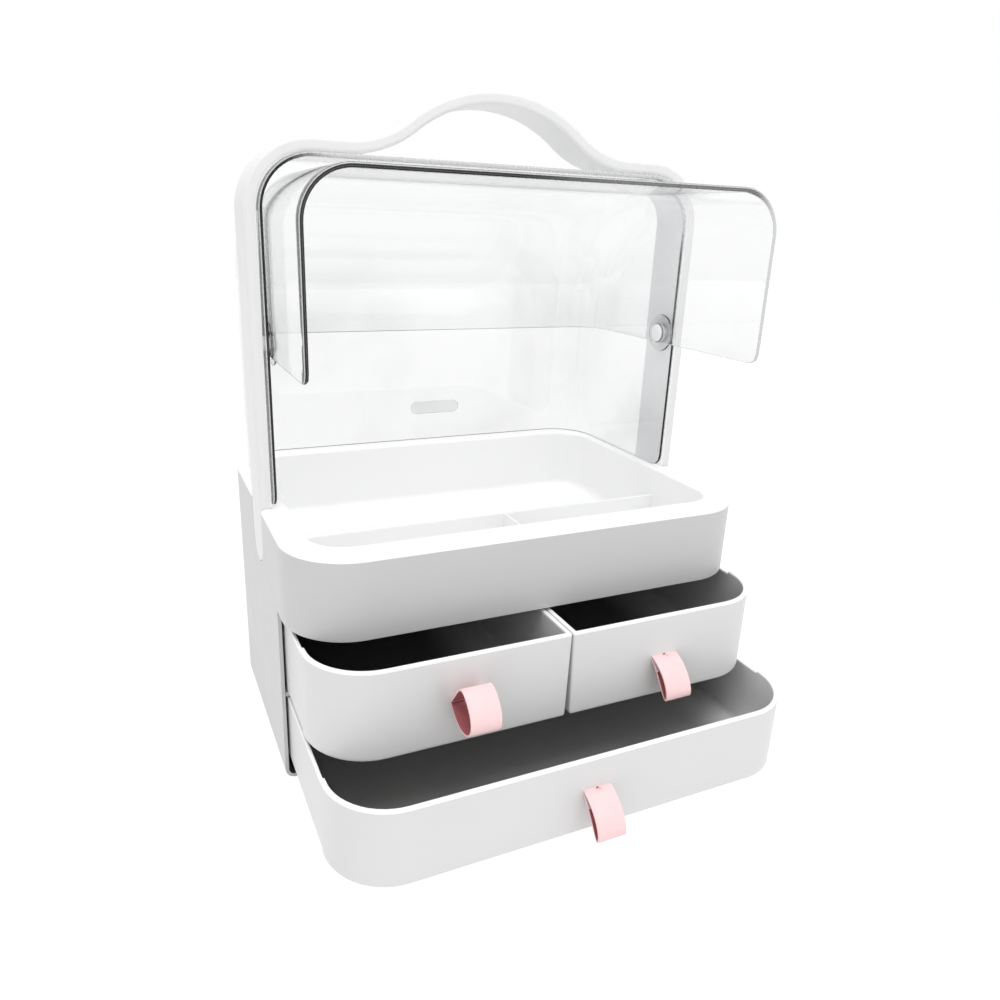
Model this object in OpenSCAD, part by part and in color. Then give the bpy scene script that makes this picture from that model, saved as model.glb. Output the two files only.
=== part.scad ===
// Dustproof makeup organizer: a white cabinet with a tray on top, two upper drawers beside each
// other, one wide lower drawer, a fixed clear rear cover, a clear front cover that swings up and
// back, and a flat band that runs up both sides and over the top as the carrying handle.
// Millimetres. The origin is the middle of the base plate's underside, +Z is up and the front
// of the cabinet faces -Y. The front cover and the drawers are drawn as far open as set below.

/* [Cabinet] */
// Width across the outside of the side walls
body_w = 280; // [250:1:310]
// Depth from the front of the band to the back wall
body_d = 208; // [190:1:230]
// Thickness of the side walls, the back wall and the front band
wall = 2.2; // [1.8:0.1:2.8]
// Radius of the upright corners
corner_r = 36; // [30:1:42]
// How far the side walls' front edge stands behind the band's front
front_setback = 48; // [44:1:60]
// Height of the band round the tray
band_h = 42.8; // [36:0.2:50]
// Rounding of the side walls' lower edges, where they turn in under the cabinet
base_edge_r = 6; // [4:0.5:10]

/* [Base, shelf and partition] */
// Thickness of the base plate
base_t = 3; // [2.4:0.2:4]
// Height of the runner ribs on the base plate
runner_h = 7.6; // [5:0.2:10]
// Width of a runner rib
runner_w = 6; // [3:0.5:10]
// Distance from the middle to the outer runner ribs
runner_x = 96; // [70:1:110]
// Thickness of the shelf between the lower and the upper drawers
shelf_t = 2.4; // [1.8:0.2:3]
// Thickness of the partition between the upper drawers
partition_t = 1.8; // [1.4:0.1:2.6]
// Thickness of the rubber pads let into the base plate
foot_h = 1.4; // [0.8:0.1:1.6]
// Radius of those pads
foot_r = 8; // [5:0.5:10]
// Distance from a side wall's outer face to the middle of a pad
foot_inset = 30; // [24:1:44]

/* [Tray] */
// Thickness of the tray's rim
rim_t = 2.4; // [1.8:0.1:3.4]
// Width of the rim along the front and the back
rim_front_w = 17; // [15:0.5:22]
// Width of the rim along the sides
rim_side_w = 15.3; // [13:0.1:20]
// Radius of the tray's inside corners in plan
tray_corner_r = 20; // [12:1:26]
// Thickness of the tray's walls and floor
tray_wall = 1.8; // [1.4:0.1:2.4]
// Thickness of the dividers moulded in the tray
divider_t = 1.6; // [1.2:0.1:2.4]
// Height of the dividers above the tray's floor
divider_h = 24; // [14:1:34]
// Distance from the band's front to the lengthwise divider
divider_y = 81; // [60:1:110]
// Place of the cross divider along the width
divider_x = 11; // [-40:1:40]

/* [Drawers] */
// Height of the lower drawer's front
lower_h = 44.3; // [38:0.1:56]
// Height of the upper drawers' fronts
upper_h = 50.4; // [42:0.1:60]
// How far the lower drawer stands open
lower_open = 64; // [0:1:100]
// How far the upper drawers stand open
upper_open = 28; // [0:1:90]
// Depth of a drawer's front section, which has the higher rim and the thicker wall
front_section = 36; // [30:1:42]
// Wall thickness of a drawer's front section
front_wall = 2.6; // [2.2:0.1:3.2]
// Wall thickness of a drawer's rear box
drawer_wall = 1.8; // [1.4:0.1:2]
// Thickness of a drawer's floor
drawer_floor = 2; // [1.6:0.1:3]
// How far the rear box's rim lies below the front section's rim
rim_step = 1.8; // [1:0.1:4]
// How far the front section reaches below the rear box
bottom_step = 0.8; // [0.4:0.1:1]
// Radius of a drawer's front corners
drawer_front_r = 34; // [26:1:35]
// Radius of a drawer's rear corners
drawer_rear_r = 33; // [24:1:35]
// Gap between a drawer's side and the cabinet's wall
drawer_gap = 1; // [0.5:0.1:1.2]
// Gap behind a closed drawer
drawer_back_gap = 2.4; // [1.5:0.1:6]
// Gap under and over a drawer where it slides
slide_gap = 0.4; // [0.3:0.1:0.8]
// Gap between the upper drawers' fronts at their rims
wedge_top = 0.8; // [0.6:0.1:1.6]
// Gap between the upper drawers' fronts at their bottoms
wedge_bottom = 3; // [1.8:0.1:4]

/* [Pull straps] */
// Width of a strap
strap_w = 16.4; // [13:0.2:22]
// Thickness of a strap
strap_t = 0.9; // [0.7:0.1:1.1]
// Gap between the strap's two layers where they pass through the slot
strap_layer_gap = 0.2; // [0.1:0.05:0.4]
// Distance from the middle of the cabinet to the upper straps
strap_x = 61; // [45:1:80]
// Place of the lower strap along the width
strap_lower_x = -1.5; // [-20:0.5:20]
// Height of the lower strap above the middle of the lower drawer's front
strap_raise = 3; // [0:0.5:6]
// Reach of the hanging loops, along the strap
loop_reach = 25; // [22:0.5:30]
// Reach of the sprung-open loop on the left, along the strap
loop_reach_open = 24; // [20:0.5:28]
// Fullness of the hanging loops, near half of it on each side of their middle
loop_half = 2.6; // [2.4:0.1:4]
// Fullness of the sprung-open loop, near half of it on each side of its middle
loop_half_open = 14; // [10:0.5:16]
// How steeply the hanging loops leave their slots, in degrees
loop_dip = 28; // [0:1:40]
// How far the hanging loops bend down along their reach, in degrees
loop_droop = 42; // [20:1:50]
// How far the sprung-open loop bends up along its reach, in degrees
loop_rise_open = 36; // [20:1:50]
// Thickness of the bar that holds the strap's ends inside the drawer
clip_t = 3.6; // [2.5:0.1:5]
// Height of that bar
clip_h = 9; // [7:0.5:14]
// How far that bar reaches past the strap on each side
clip_margin = 4; // [2:0.5:8]

/* [Handle frame] */
// Width of the flat band that makes the frame
frame_w = 31.4; // [24:0.2:38]
// Thickness of that band
frame_t = 6.5; // [5:0.1:8]
// Place of the band's middle behind the cabinet's mid-depth
frame_y = -3.5; // [-10:0.5:6]
// Outer radius of the frame's shoulders
shoulder_r = 36; // [26:1:44]
// Half width of the raised handle arch, to where it meets the flat shoulders
arch_half = 86; // [76:1:92]
// Rise of the handle arch above the flat shoulders
arch_rise = 29.5; // [24:0.5:36]
// Outer radius of the handle arch's crown
crown_r = 85; // [74:1:96]
// How far the frame's legs reach down into the cabinet's sides, below the top of the walls
leg_depth = 33.6; // [26:0.2:34]
// Clearance round a leg in its recess
leg_clear = 0.2; // [0.1:0.05:0.4]
// Radius of the screws that hold the legs
screw_r = 1.5; // [1.2:0.1:2]
// Radius of their heads
screw_head_r = 3; // [2.4:0.1:4]
// Thickness of their heads
screw_head_t = 1.8; // [1.2:0.1:2.2]
// Length of their shanks
screw_l = 7; // [5:0.5:7.5]
// Distance between the two screws of a leg
screw_pitch = 11; // [8:0.5:12]

/* [Covers and pivots] */
// Wall of the fixed rear cover
rear_t = 2.2; // [1.6:0.1:2.6]
// Wall of the swinging front cover
cover_t = 2.4; // [1.8:0.1:3]
// Gap between the frame's inner face and the rear cover's side
rear_gap = 0.8; // [0.4:0.1:1.4]
// Gap between the rear cover and the frame's flat top
roof_clear = 0.3; // [0.2:0.1:0.6]
// Gap between the two covers' sides
cover_gap = 0.4; // [0.3:0.1:0.8]
// Space between the swung cover and the rear cover's roof
roof_gap = 6.5; // [4:0.5:12]
// How far the front cover's face stands behind the band's front when closed
cover_inset = 6.5; // [5:0.5:10]
// How far the front cover reaches below its pivots when closed
cover_drop = 89.8; // [84:0.2:96]
// How far the front cover reaches behind its pivots when closed
cover_tail = 6.5; // [5.5:0.1:9]
// Rounding of the front cover's two free corners
cover_foot_r = 5.5; // [3:0.5:8]
// Gap between the closed front cover and the tray's rim
cover_lift = 1.2; // [1:0.1:2]
// Corner radius of the front cover
cover_corner_r = 25; // [18:1:30]
// Corner radius of the rear cover
rear_corner_r = 29; // [20:1:29]
// Rounding of the rear cover's lower front corners
rear_foot_r = 8; // [3:0.5:12]
// Bend radius of the rear cover between its back and its roof
rear_bend_r = 78; // [60:1:80]
// How far the rear cover's back stands in front of the cabinet's back
rear_inset = 3; // [2:0.5:6]
// How far the front cover is swung open, in degrees
cover_open = 90; // [0:1:90]
// How far the pivots stand in front of the frame band's middle
pivot_ahead = 6.5; // [0:0.5:9]
// Radius of the pivot pins
pin_r = 4; // [3:0.1:5]
// Thickness of the frame left outside a pin's blind bore
pin_cover = 1.5; // [1:0.1:2.5]
// Running clearance round a pin in the front cover
pin_clear = 0.05; // [0.03:0.01:0.1]
// Radius of the round lugs that stand round the pivots on the front cover
boss_r = 12; // [9:0.5:14]
// How far those lugs stand out inside the cover
boss_t = 0.8; // [0.4:0.1:1.2]
// Radius of the domed caps on the pins
cap_r = 6.4; // [6:0.1:8]
// Height of the caps' cylindrical rims
cap_rim = 1.6; // [1.2:0.1:3]
// Height of the caps' domes
cap_dome = 2.2; // [1.5:0.1:3]
// Gap between a cap and the lug
cap_gap = 0.4; // [0.3:0.1:0.8]

/* [Bare oval on the back] */
// Length of the raised bare oval
oval_w = 38; // [24:1:50]
// Height of the oval
oval_h = 9; // [6:0.5:14]
// How far the oval stands proud
oval_t = 0.5; // [0.3:0.1:1]
// Height of the oval's middle above the tray's rim
oval_z = 24; // [16:1:40]
// Place of the oval along the width
oval_x = 10; // [-20:1:20]

/* [Hidden] */
$fn = 96;

// Small overlap that lets one cut run past the face it opens
past = 1;
half_w = body_w / 2;
front_y = -body_d / 2;
back_y = body_d / 2;
wall_front_y = front_y + front_setback;
plate_front = wall_front_y + 0.4;
// Clearance round a pad, and its distance behind the base plate's front edge
pad_clear = 0.1;
pad_edge = 1;

// Levels, from the base up
lower_z = base_t + runner_h + slide_gap;
lower_rim = lower_z + lower_h;
// Space over the lower drawer's rear rim
shelf_space = 1;
shelf_z = lower_rim - rim_step + shelf_space;
upper_rear_z = shelf_z + shelf_t + slide_gap;
upper_z = upper_rear_z - bottom_step;
upper_rim = upper_z + upper_h;
// Space between the upper drawers' rims and the band
band_space = 1.9;
band_z = upper_rim + band_space;
body_top = band_z + band_h;
rim_top = body_top + rim_t;
// How far the tray's floor lies above the band's lower edge
floor_lift = 1.2;
tray_floor_z = band_z + floor_lift;

// Drawers
drawer_half = half_w - wall - drawer_gap;
// How much narrower than its front section a drawer's rear box is on each side
rear_box_inset = 0.3;
rear_half = drawer_half - rear_box_inset;
drawer_back_y = back_y - wall - drawer_back_gap;
section_y = front_y + front_section;
rear_box_x = partition_t / 2 + drawer_gap;

// Straps
strap_upper_z = (upper_z + upper_rim) / 2;
strap_lower_z = (lower_z + lower_rim) / 2 + strap_raise;
layer_off = (strap_t + strap_layer_gap) / 2;
slot_half = strap_t + strap_layer_gap / 2 + 0.15;
slot_side = 0.4;
// Steps on each side of a loop's tip, and the angle of the loop's line where the slot takes over
loop_steps = 20;
loop_span = 154;

// Frame and covers
frame_in = half_w - frame_t;
frame_front = frame_y - frame_w / 2;
rear_out = frame_in - rear_gap;
cover_out = rear_out - rear_t - cover_gap;
pivot_y = frame_y - pivot_ahead;
pivot_z = rim_top + cover_lift + cover_drop;
cover_r = pivot_y - front_y - cover_inset;
rear_top = pivot_z + cover_r + roof_gap + rear_t;
shoulder_z = rear_top + roof_clear + frame_t;
crown_drop = crown_r - arch_rise;
valley_r = (arch_half * arch_half + crown_drop * crown_drop - crown_r * crown_r)
    / (2 * (crown_r - crown_drop));
leg_foot_z = body_top - leg_depth;
leg_r = frame_w / 2;
rear_back = back_y - rear_inset;
pocket_x = frame_in - leg_clear;

white = "#f2f2f2";
clear = [0.9, 0.93, 0.95, 0.4];
pink = "#f4b9bd";
dark = "#3a3a3c";

// Rounded plan between two depths, with its own radius at the front and at the back
module plan(half, y0, y1, r0, r1) {
    for (s = [-1, 1]) {
        translate([s * (half - r0), y0 + r0]) circle(r0);
        translate([s * (half - r1), y1 - r1]) circle(r1);
    }
    translate([-half, y0 + r0]) square([2 * half, y1 - r1 - y0 - r0]);
    translate([r0 - half, y0]) square([2 * (half - r0), r0 + past]);
    translate([r1 - half, y1 - r1 - past]) square([2 * (half - r1), r1 + past]);
}

// Rounded plan of the whole cabinet, drawn in by a distance
module body_plan(inset) {
    plan(half_w - inset, front_y + inset, back_y - inset, corner_r - inset, corner_r - inset);
}

// Box between two corners
module block(a, b) {
    translate(a) cube([b[0] - a[0], b[1] - a[1], b[2] - a[2]]);
}

// Cylinder along the width, between two places
module rod(x0, x1, y, z, r) {
    translate([x0, y, z]) rotate([0, 90, 0]) cylinder(h = x1 - x0, r = r);
}

// Filled outline of the frame seen from the front, drawn in by a distance
module frame_outline(inset) {
    crown_z = shoulder_z - crown_drop;
    valley_z = shoulder_z + valley_r;
    span = crown_r + valley_r;
    meet_x = arch_half * (crown_r - inset) / span;
    meet_z = crown_z + (valley_z - crown_z) * (crown_r - inset) / span;
    corner = shoulder_r - inset;
    low = shoulder_z - shoulder_r;
    translate([inset - half_w, leg_foot_z - past]) square([body_w - 2 * inset, low - leg_foot_z + past]);
    translate([shoulder_r - half_w, low - past]) square([body_w - 2 * shoulder_r, corner + past]);
    for (s = [-1, 1]) {
        translate([s * (half_w - shoulder_r), low]) circle(corner);
    }
    translate([0, crown_z]) circle(crown_r - inset);
    difference() {
        polygon([[-arch_half, low], [arch_half, low], [arch_half, shoulder_z - inset],
            [meet_x, meet_z], [-meet_x, meet_z], [-arch_half, shoulder_z - inset]]);
        for (s = [-1, 1]) {
            translate([s * arch_half, valley_z]) circle(valley_r + inset);
        }
    }
}

// Side outline of the frame's band, with its half-round foot, grown by a distance
module leg_outline(grow) {
    reach = shoulder_z + arch_rise + past - leg_foot_z - leg_r;
    translate([frame_y, leg_foot_z + leg_r]) circle(leg_r + grow);
    translate([frame_y - leg_r - grow, leg_foot_z + leg_r]) square([frame_w + 2 * grow, reach]);
}

// Turns a drawing in depth and height into a solid along the width
module along_x(x0, x1) {
    translate([x0, 0, 0]) rotate([90, 0, 90]) linear_extrude(x1 - x0) children();
}

// Turns a drawing in width and height into a solid along the depth
module along_y(y0, y1) {
    translate([0, y1, 0]) rotate([90, 0, 0]) linear_extrude(y1 - y0) children();
}

// Space outside a rounded lower corner along the width; side is 1 for a front corner, -1 for a rear one
module corner_cut(y, z, side, r) {
    along_x(-half_w - past, half_w + past) translate([y, z]) mirror([side > 0 ? 0 : 1, 0]) difference() {
        translate([-past, -past]) square(r + past);
        translate([r, r]) circle(r);
    }
}

// Middle heights of a leg's two screws
function screw_z(i) = leg_foot_z + leg_r - 3 + i * screw_pitch;

// Solid of one recess for a leg, grown by a distance
module leg_space(side, grow) {
    x0 = side > 0 ? pocket_x - grow : -half_w - past;
    x1 = side > 0 ? half_w + past : grow - pocket_x;
    along_x(x0, x1) leg_outline(leg_clear + grow);
}

// Front view of the cabinet's body, open below between its rounded lower edges, drawn in by a distance
module body_section(inset) {
    for (s = [-1, 1]) {
        translate([s * (half_w - base_edge_r), base_edge_r]) circle(base_edge_r - inset);
    }
    translate([inset - half_w, base_edge_r]) square([body_w - 2 * inset, body_top]);
    translate([base_edge_r - half_w, -past]) square([body_w - 2 * base_edge_r, body_top]);
}

// Solid body of the cabinet, drawn in by a distance, reaching past its top if asked
module body(inset, over) {
    intersection() {
        translate([0, 0, -over]) linear_extrude(body_top + 2 * over) body_plan(inset);
        along_y(front_y - past, back_y + past) body_section(inset);
    }
}

// Side walls, back wall and front band in one moulding, with a recess in each side for the frame
module cabinet_shell() {
    color(white) difference() {
        union() {
            difference() {
                body(0, 0);
                body(wall, past);
            }
            for (s = [-1, 1]) {
                intersection() {
                    leg_space(s, wall);
                    linear_extrude(body_top) body_plan(0);
                }
            }
        }
        for (s = [-1, 1]) {
            leg_space(s, 0);
            for (i = [0, 1]) {
                rod(s * half_w - half_w / 4, s * half_w + half_w / 4, frame_y, screw_z(i), screw_r + 0.2);
            }
        }
        block([-half_w - past, front_y - past, -past], [half_w + past, wall_front_y, band_z]);
    }
}

// Floor of the cabinet with the ribs that the lower drawer runs on
module base_plate() {
    color(white) {
        difference() {
            intersection() {
                linear_extrude(base_t) body_plan(wall);
                block([base_edge_r - half_w, plate_front, -past], [half_w - base_edge_r, back_y, base_t + past]);
            }
            pads(past, foot_h, foot_r + pad_clear);
        }
        for (x = [-runner_x, 0, runner_x]) {
            block([x - runner_w / 2, plate_front, base_t - past / 2],
                [x + runner_w / 2, back_y - corner_r, base_t + runner_h]);
        }
    }
}

// Shelf over the lower drawer, whose front edge shows between the drawers
module mid_shelf() {
    color(white) intersection() {
        translate([0, 0, shelf_z]) linear_extrude(shelf_t) body_plan(wall);
        block([-half_w, plate_front, 0], [half_w, back_y, body_top]);
    }
}

// Upright wall between the upper drawers, from the shelf to the tray's floor
module centre_partition() {
    color(white) block([-partition_t / 2, wall_front_y + 1, shelf_z + shelf_t],
        [partition_t / 2, back_y - wall, tray_floor_z]);
}

// Plan of the tray's inside, grown by a distance
module tray_plan(grow) {
    r = tray_corner_r + grow;
    plan(half_w - rim_side_w + grow, front_y + rim_front_w - grow, back_y - rim_front_w + grow, r, r);
}

// Tray with its wide rim and its moulded dividers
module top_tray() {
    floor_top = tray_floor_z + tray_wall;
    color(white) difference() {
        union() {
            translate([0, 0, body_top]) linear_extrude(rim_t) body_plan(0);
            translate([0, 0, tray_floor_z]) linear_extrude(rim_top - tray_floor_z) tray_plan(tray_wall);
        }
        difference() {
            translate([0, 0, floor_top]) linear_extrude(rim_top) tray_plan(0);
            translate([-half_w, front_y + divider_y - divider_t / 2, 0])
                cube([body_w, divider_t, floor_top + divider_h]);
            translate([divider_x - divider_t / 2, front_y, 0])
                cube([divider_t, divider_y, floor_top + divider_h]);
        }
        for (s = [-1, 1]) {
            leg_space(s, 0);
        }
    }
}

// Shell of the lower drawer, or of the pair of upper drawers before they are parted, when closed
module drawer_shell(z, rim, rear_z) {
    floor_top = rear_z + drawer_floor;
    rear_rim = rim - rim_step;
    difference() {
        union() {
            intersection() {
                translate([0, 0, z]) linear_extrude(rim - z)
                    plan(drawer_half, front_y, drawer_back_y, drawer_front_r, drawer_rear_r);
                block([-half_w, front_y - past, z - past], [half_w, section_y, rim + past]);
            }
            intersection() {
                translate([0, 0, rear_z]) linear_extrude(rear_rim - rear_z)
                    plan(rear_half, front_y, drawer_back_y, drawer_front_r, drawer_rear_r);
                block([-half_w, section_y - past, rear_z - past], [half_w, back_y, rim]);
            }
        }
        drawer_space(floor_top, rim, front_wall, front_y, section_y + past);
        drawer_space(floor_top, rim, drawer_wall + rear_box_inset, section_y, back_y);
    }
}

// Hollow of a drawer between two depths, with the wall given
module drawer_space(floor_top, rim, t, y0, y1) {
    intersection() {
        translate([0, 0, floor_top]) linear_extrude(rim - floor_top + past)
            plan(drawer_half - t, front_y + front_wall, drawer_back_y - drawer_wall,
                drawer_front_r - t, drawer_rear_r - t);
        block([-half_w, y0, floor_top - past], [half_w, y1, rim + 2 * past]);
    }
}

// Slot for a strap through a drawer's front wall
module strap_slot(x, z) {
    block([x - strap_w / 2 - slot_side, front_y - past, z - slot_half],
        [x + strap_w / 2 + slot_side, front_y + front_wall + past, z + slot_half]);
}

// Left or right upper drawer, with a drafted inner side at its front section
module drawer_upper(side) {
    outline = [[wedge_bottom / 2, upper_z - past], [half_w, upper_z - past],
        [half_w, upper_rim + past], [wedge_top / 2, upper_rim + past]];
    inner = wedge_bottom / 2;
    translate([0, -upper_open, 0]) mirror([side > 0 ? 0 : 1, 0, 0]) color(white) difference() {
        union() {
            intersection() {
                drawer_shell(upper_z, upper_rim, upper_rear_z);
                union() {
                    along_y(front_y - past, section_y) polygon(outline);
                    block([rear_box_x, section_y - past, upper_z], [half_w, back_y, upper_rim]);
                }
            }
            intersection() {
                block([0, front_y + past, upper_z], [inner + front_wall, section_y, upper_rim]);
                along_y(front_y, section_y) polygon(outline);
            }
            block([rear_box_x, section_y - past, upper_rear_z],
                [rear_box_x + drawer_wall, drawer_back_y, upper_rim - rim_step]);
        }
        strap_slot(strap_x, strap_upper_z);
        block([-half_w, section_y - past, 0], [rear_box_x, back_y, body_top]);
    }
}

// Wide lower drawer
module drawer_lower() {
    translate([0, -lower_open, 0]) color(white) difference() {
        drawer_shell(lower_z, lower_rim, lower_z + bottom_step);
        strap_slot(strap_lower_x, strap_lower_z);
    }
}

// Middle line of a strap's loop before it bends: reach and height at an angle from -180 to 180
function loop_line(a, reach, half) = [reach * (1 + cos(a)) / 2,
    half * sin(a) * cos(a / 2) + layer_off * sin(a / 2)];

// The same point once the loop has bent evenly along its reach and dipped at its root
function loop_bent(p, reach, droop, dip) =
    let (k = droop / reach, a = k * p[0], r = 180 / (PI * k),
        u = r * sin(a) + p[1] * sin(a), v = p[1] * cos(a) - r * (1 - cos(a)))
    [-(u * cos(dip) + v * sin(dip)), v * cos(dip) - u * sin(dip)];

// Points of the middle line round the loop, from near the slot on the lower layer to near it on the upper
function loop_points(reach, half, droop, dip) = [
    for (i = [-loop_steps : loop_steps])
        loop_bent(loop_line(loop_span * i / loop_steps, reach, half), reach, droop, dip)
];

// Direction across a line of points, at one of them
function across(p, i) =
    let (a = p[max(i - 1, 0)], b = p[min(i + 1, len(p) - 1)], d = b - a)
    [-d[1], d[0]] / norm(d);

// Loop of strap as drawn from the side, with its thickness laid on both sides of the middle line
module strap_outline(reach, half, droop, dip) {
    inside = front_wall + clip_t;
    loop = loop_points(reach, half, droop, dip);
    line = concat([[inside, -layer_off], [0, -layer_off]], loop, [[0, layer_off], [inside, layer_off]]);
    last = len(line) - 1;
    side_a = [for (i = [0 : last]) line[i] + across(line, i) * strap_t / 2];
    side_b = [for (i = [last : -1 : 0]) line[i] - across(line, i) * strap_t / 2];
    polygon(concat(side_a, side_b));
}

// One pull strap, with a nick in the middle of its upper root
module pull_strap(x, z, open, reach, half, droop, dip) {
    nick = 1.5;
    color(pink) translate([0, front_y - open, z]) difference() {
        along_x(x - strap_w / 2, x + strap_w / 2) strap_outline(reach, half, droop, dip);
        translate([x, -nick, 0]) cylinder(h = loop_half_open, r = nick);
    }
}

module pull_strap_left() {
    pull_strap(-strap_x, strap_upper_z, upper_open, loop_reach_open, loop_half_open, -loop_rise_open, 0);
}

module pull_strap_right() {
    pull_strap(strap_x, strap_upper_z, upper_open, loop_reach, loop_half, loop_droop, loop_dip);
}

module pull_strap_lower() {
    pull_strap(strap_lower_x, strap_lower_z, lower_open, loop_reach, loop_half, loop_droop, loop_dip);
}

// Bar inside a drawer's front that grips the strap's two ends
module strap_clip(x, z, open) {
    y = front_y - open + front_wall;
    grip = strap_t + strap_layer_gap / 2;
    width = strap_w / 2 + clip_margin;
    color(white) difference() {
        block([x - width, y, z - clip_h / 2], [x + width, y + clip_t, z + clip_h / 2]);
        block([x - strap_w / 2, y - past, z - grip], [x + strap_w / 2, y + clip_t + past, z + grip]);
    }
}

// Flat band up both sides and over the top, bent into a low arch for the hand
module handle_frame() {
    color(white) difference() {
        intersection() {
            along_y(frame_front, frame_front + frame_w) difference() {
                frame_outline(0);
                frame_outline(frame_t);
            }
            along_x(-half_w - past, half_w + past) leg_outline(0);
        }
        for (s = [-1, 1]) {
            mirror([s < 0 ? 1 : 0, 0, 0])
                rod(frame_in - past, half_w - pin_cover, pivot_y, pivot_z, pin_r);
            for (i = [0, 1]) {
                depth = pocket_x - wall + screw_l;
                rod(min(s * depth, s * frame_in / 2), max(s * depth, s * frame_in / 2),
                    frame_y, screw_z(i), screw_r);
            }
        }
    }
}

// Two round-headed screws in each leg, driven from inside the cabinet
module frame_screws() {
    x0 = pocket_x - wall;
    color(dark) for (s = [0, 1], i = [0, 1]) {
        mirror([s, 0, 0]) {
            rod(x0 - past / 4, x0 + screw_l, frame_y, screw_z(i), screw_r);
            rod(x0 - screw_head_t, x0, frame_y, screw_z(i), screw_head_r);
        }
    }
}

// Half plan of a cover's wall, closed at the far end of its reach: reach along X, width along Y
module cover_section(near, reach, half, r, t) {
    difference() {
        section_fill(near, reach, half, r);
        section_fill(near - past, reach - t, half - t, r - t);
    }
}

// Filled form of the same section
module section_fill(near, reach, half, r) {
    translate([near, -half]) square([reach - r - near, 2 * half]);
    translate([near, r - half]) square([reach - near, 2 * (half - r)]);
    for (s = [-1, 1]) {
        translate([reach - r, s * (half - r)]) circle(r);
    }
}

// Cover wall swept a quarter turn about the width axis, from ahead (-Y) or behind (+Y) to the top
module cover_bend(reach, half, r, t, ahead) {
    mirror([0, ahead ? 1 : 0, 0]) rotate([90, 0, 90]) rotate_extrude(angle = 90, $fn = 180)
        intersection() {
            cover_section(-past, reach, half, r, t);
            translate([0, -half]) square([reach, 2 * half]);
        }
}

// Fixed clear cover between the frame's legs and behind them
module rear_cover() {
    bend_y = rear_back - rear_bend_r;
    bend_z = rear_top - rear_bend_r;
    near = frame_front - bend_y;
    color(clear) difference() {
        union() {
            translate([0, bend_y, rim_top]) linear_extrude(bend_z - rim_top)
                rotate(90) cover_section(near, rear_bend_r, rear_out, rear_corner_r, rear_t);
            translate([0, bend_y, bend_z])
                cover_bend(rear_bend_r, rear_out, rear_corner_r, rear_t, false);
            translate([0, bend_y, bend_z]) rotate([90, 0, 0]) linear_extrude(-near)
                rotate(90) cover_section(0, rear_bend_r, rear_out, rear_corner_r, rear_t);
            translate([oval_x, rear_back, rim_top + oval_z]) rotate([-90, 0, 0])
                linear_extrude(oval_t) oval();
        }
        rod(-half_w, half_w, pivot_y, pivot_z, pin_r);
        corner_cut(frame_front, rim_top, 1, rear_foot_r);
    }
}

// Outline of the raised bare oval
module oval() {
    reach = (oval_w - oval_h) / 2;
    translate([-reach, -oval_h / 2]) square([2 * reach, oval_h]);
    for (s = [-1, 1]) {
        translate([s * reach, 0]) circle(oval_h / 2);
    }
}

// Clear cover that swings about the two pivots, drawn closed about the pivot line
module front_cover_closed() {
    inner = cover_out - cover_t;
    difference() {
        union() {
            translate([0, 0, -cover_drop]) linear_extrude(cover_drop)
                rotate(-90) cover_section(-cover_tail, cover_r, cover_out, cover_corner_r, cover_t);
            cover_bend(cover_r, cover_out, cover_corner_r, cover_t, true);
            translate([0, cover_tail, 0]) rotate([90, 0, 0]) linear_extrude(cover_tail)
                rotate(90) cover_section(0, cover_r, cover_out, cover_corner_r, cover_t);
            for (s = [0, 1]) {
                mirror([s, 0, 0]) rod(inner - boss_t, cover_out, 0, 0, boss_r);
            }
        }
        rod(-half_w, half_w, 0, 0, pin_r + pin_clear);
        corner_cut(cover_tail, -cover_drop, -1, cover_foot_r);
    }
}

module front_cover() {
    color(clear) translate([0, pivot_y, pivot_z]) rotate([-cover_open, 0, 0]) front_cover_closed();
}

// Stub pin through the frame, the rear cover and the front cover
module pivot_pin(side) {
    end = cover_out - cover_t - boss_t - cap_gap - cap_rim / 2;
    color(white) mirror([side > 0 ? 0 : 1, 0, 0]) rod(end, half_w - pin_cover, pivot_y, pivot_z, pin_r);
}

// Domed cap on the inner end of a pin
module pivot_cap(side) {
    face = cover_out - cover_t - boss_t - cap_gap;
    dome_r = (cap_r * cap_r + cap_dome * cap_dome) / (2 * cap_dome);
    color(white) mirror([side > 0 ? 0 : 1, 0, 0]) translate([0, pivot_y, pivot_z]) difference() {
        union() {
            rod(face - cap_rim, face, 0, 0, cap_r);
            intersection() {
                translate([face - cap_rim - cap_dome + dome_r, 0, 0]) sphere(dome_r);
                rod(face - cap_rim - cap_dome - past, face - cap_rim / 2, 0, 0, cap_r);
            }
        }
        rod(face - cap_rim / 2, face + past, 0, 0, pin_r);
    }
}

// Discs at the four pads' places, from a depth below the base to a height above it
module pads(below, h, r) {
    for (s = [-1, 1], y = [plate_front + foot_r + pad_edge, back_y - foot_inset]) {
        translate([s * (half_w - foot_inset), y, -below]) cylinder(h = h + below, r = r);
    }
}

// Four anti-slip pads let into the base plate, drawn pressed flush with its underside
module rubber_feet() {
    color(dark) pads(0, foot_h, foot_r);
}

cabinet_shell();
base_plate();
mid_shelf();
centre_partition();
top_tray();
drawer_upper(-1);  // drawer_upper_left
drawer_upper(1);  // drawer_upper_right
drawer_lower();
pull_strap_left();
pull_strap_right();
pull_strap_lower();
strap_clip(-strap_x, strap_upper_z, upper_open);  // strap_clip_left
strap_clip(strap_x, strap_upper_z, upper_open);  // strap_clip_right
strap_clip(strap_lower_x, strap_lower_z, lower_open);  // strap_clip_lower
handle_frame();
frame_screws();
rear_cover();
front_cover();
pivot_pin(-1);  // pivot_pin_left
pivot_pin(1);  // pivot_pin_right
pivot_cap(-1);  // pivot_cap_left
pivot_cap(1);  // pivot_cap_right
rubber_feet();
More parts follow.
